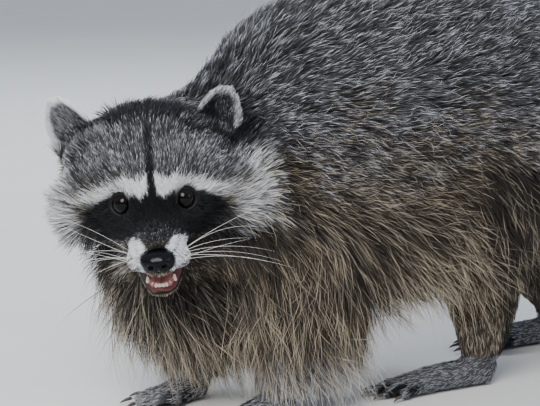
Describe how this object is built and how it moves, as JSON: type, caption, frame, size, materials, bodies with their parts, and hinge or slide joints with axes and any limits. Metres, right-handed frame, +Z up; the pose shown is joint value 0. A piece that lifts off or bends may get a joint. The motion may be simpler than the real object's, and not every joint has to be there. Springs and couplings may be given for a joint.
{
  "type": "raccoon",
  "caption": "Life-size standing raccoon with its back arched, head turned over its left side, mouth open and ringed tail behind.",
  "frame": {"origin": "centre of the footprint of the whole animal's box, on the floor that it stands on", "axes": "-X is the way the raccoon faces, -Y is its left side, +Z is up"},
  "size_m": [0.75, 0.2242, 0.3514],
  "materials": {
    "coat": "grizzled grey-brown fur",
    "tail_coat": "ringed long fur",
    "paw_coat": "short pale fur",
    "ear_coat": "velvety short fur with a pale rim",
    "nose": "moist pebbled skin",
    "eye": "glossy dark eye",
    "tongue": "moist pink flesh",
    "claw": "semi-gloss horn",
    "tooth": "glossy enamel"
  },
  "bodies": {
    "root": {"claw_forepaw_left_1": "claw", "claw_forepaw_left_2": "claw", "claw_forepaw_left_3": "claw", "claw_forepaw_left_4": "claw", "claw_forepaw_left_5": "claw", "claw_forepaw_right_1": "claw", "claw_forepaw_right_2": "claw", "claw_forepaw_right_3": "claw", "claw_forepaw_right_4": "claw", "claw_forepaw_right_5": "claw", "claw_hindfoot_left_1": "claw", "claw_hindfoot_left_2": "claw", "claw_hindfoot_left_3": "claw", "claw_hindfoot_left_4": "claw", "claw_hindfoot_left_5": "claw", "claw_hindfoot_right_1": "claw", "claw_hindfoot_right_2": "claw", "claw_hindfoot_right_3": "claw", "claw_hindfoot_right_4": "claw", "claw_hindfoot_right_5": "claw", "ear_left": "ear_coat", "ear_right": "ear_coat", "eye_left": "eye", "eye_right": "eye", "foreleg_left": "coat", "foreleg_right": "coat", "forepaw_left": "paw_coat", "forepaw_right": "paw_coat", "head": "coat", "hindfoot_left": "paw_coat", "hindfoot_right": "paw_coat", "jaw": "coat", "neck": "coat", "nose": "nose", "shank_left": "coat", "shank_right": "coat", "tail_base": "tail_coat", "tail_middle": "tail_coat", "tail_tip": "tail_coat", "thigh_left": "coat", "thigh_right": "coat", "tongue": "tongue", "trunk": "coat"}
  },
  "joints": []
}
